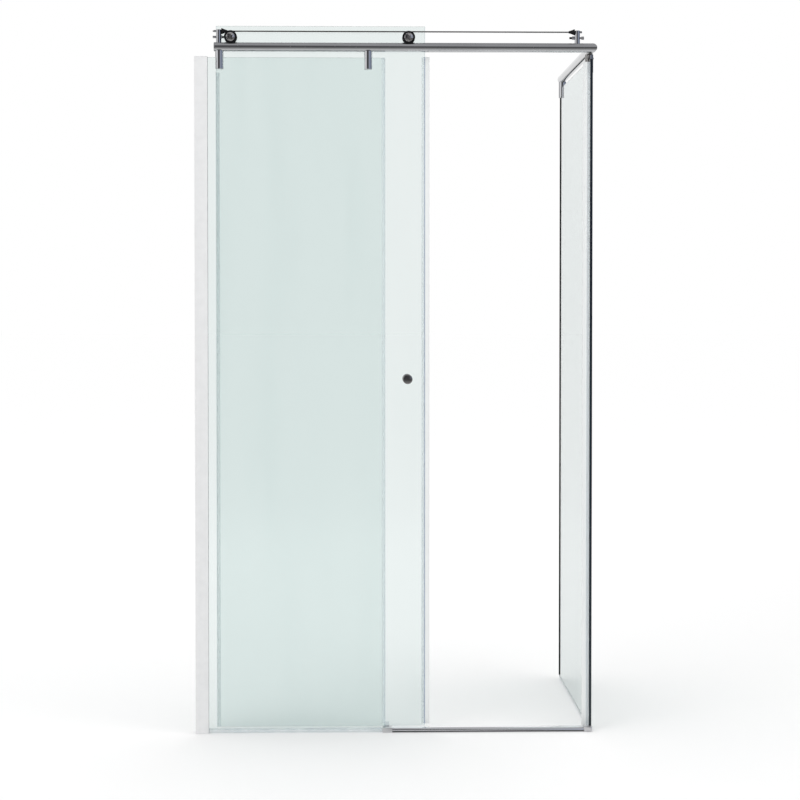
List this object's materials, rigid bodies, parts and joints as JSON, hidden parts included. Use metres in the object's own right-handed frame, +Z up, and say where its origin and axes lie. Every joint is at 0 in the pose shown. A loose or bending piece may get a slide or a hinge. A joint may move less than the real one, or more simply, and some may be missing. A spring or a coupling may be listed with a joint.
{
  "type": "sliding shower door",
  "caption": "Corner shower front with a glass door that hangs on grooved rollers and slides along a round header rail, with fixed glass, return glass, clamps and wall profile.",
  "frame": {"origin": "centre of the box on the plane of the shower tray", "axes": "+X along the header rail from the wall profile to the return glass, +Y into the shower towards the rear wall, +Z up"},
  "size_m": [1.193, 0.9016, 2.103],
  "materials": {
    "clear_glass": "polished, clear",
    "polished_chrome": "polished",
    "satin_chrome": "satin",
    "dark_chrome": "polished",
    "white_enamel": "semi-gloss enamel",
    "raw_aluminium": "mill",
    "steel": "zinc plated",
    "black_rubber": "matte",
    "grey_rubber": "matte",
    "magnet_rubber": "matte",
    "clear_seal": "clear, glossy",
    "clear_nylon": "translucent",
    "white_acetal": "matte",
    "black_nylon": "satin"
  },
  "bodies": {
    "frame": {"fixed_glass": "clear_glass", "return_glass": "clear_glass", "header_rail": "polished_chrome", "rail_end_cap": "polished_chrome", "corner_elbow": "polished_chrome", "side_rail": "polished_chrome", "rail_clamp_left": "polished_chrome", "rail_clamp_right": "polished_chrome", "side_clamp_front": "polished_chrome", "side_clamp_rear": "polished_chrome", "stop_post_left": "polished_chrome", "stop_post_right": "polished_chrome", "stop_screws": "polished_chrome", "guard_rod": "polished_chrome", "rod_nuts": "polished_chrome", "threshold_bar": "polished_chrome", "corner_block": "polished_chrome", "lock_screws": "polished_chrome", "guide_block": "satin_chrome", "wall_profile": "white_enamel", "profile_cap": "white_enamel", "wall_channel": "raw_aluminium", "side_rail_plug": "raw_aluminium", "profile_screws": "steel", "rail_grub_screws": "steel", "clamp_screws": "steel", "rail_studs": "steel", "stud_nuts": "steel", "stop_nuts": "steel", "clamp_pads": "black_rubber", "stop_tips": "black_rubber", "rod_buffer_left": "black_rubber", "rod_buffer_right": "black_rubber", "return_wall_seal": "black_rubber", "glazing_gasket": "grey_rubber", "strike_magnet": "magnet_rubber", "fixed_edge_seal": "clear_seal", "fixed_bottom_seal": "clear_seal", "strike_profile": "clear_seal", "return_bottom_seal": "clear_seal", "guide_jaws": "clear_seal"},
    "door": {"door_glass": "clear_glass", "door_leading_seal": "clear_seal", "door_magnet": "magnet_rubber", "door_trailing_seal": "clear_seal", "knob_front": "dark_chrome", "knob_rear": "dark_chrome", "knob_stud": "steel", "knob_washers": "clear_nylon", "roller_axle_left": "steel", "roller_axle_right": "steel", "axle_bushings": "clear_nylon", "axle_washers": "clear_nylon", "axle_nuts": "polished_chrome"},
    "roller_left": {"wheel_left": "black_nylon", "bearing_left": "white_acetal", "hub_cap_left": "polished_chrome"},
    "roller_right": {"wheel_right": "black_nylon", "bearing_right": "white_acetal", "hub_cap_right": "polished_chrome"}
  },
  "joints": [
    {"name": "door_slide", "type": "slide", "parent": "frame", "child": "door", "axis": [1, 0, 0], "range_m": [0, 0.458]},
    {"name": "roller_left_spin", "type": "hinge", "parent": "door", "child": "roller_left", "pos_m": [-0.4895, -0.436, 2.068], "axis": [0, 1, 0], "continuous": true},
    {"name": "roller_right_spin", "type": "hinge", "parent": "door", "child": "roller_right", "pos_m": [0.0375, -0.436, 2.068], "axis": [0, 1, 0], "continuous": true}
  ],
  "couplings": [
    {"joint": "roller_left_spin", "follows": "door_slide", "rad_per_m": 66.667},
    {"joint": "roller_right_spin", "follows": "door_slide", "rad_per_m": 66.667}
  ]
}
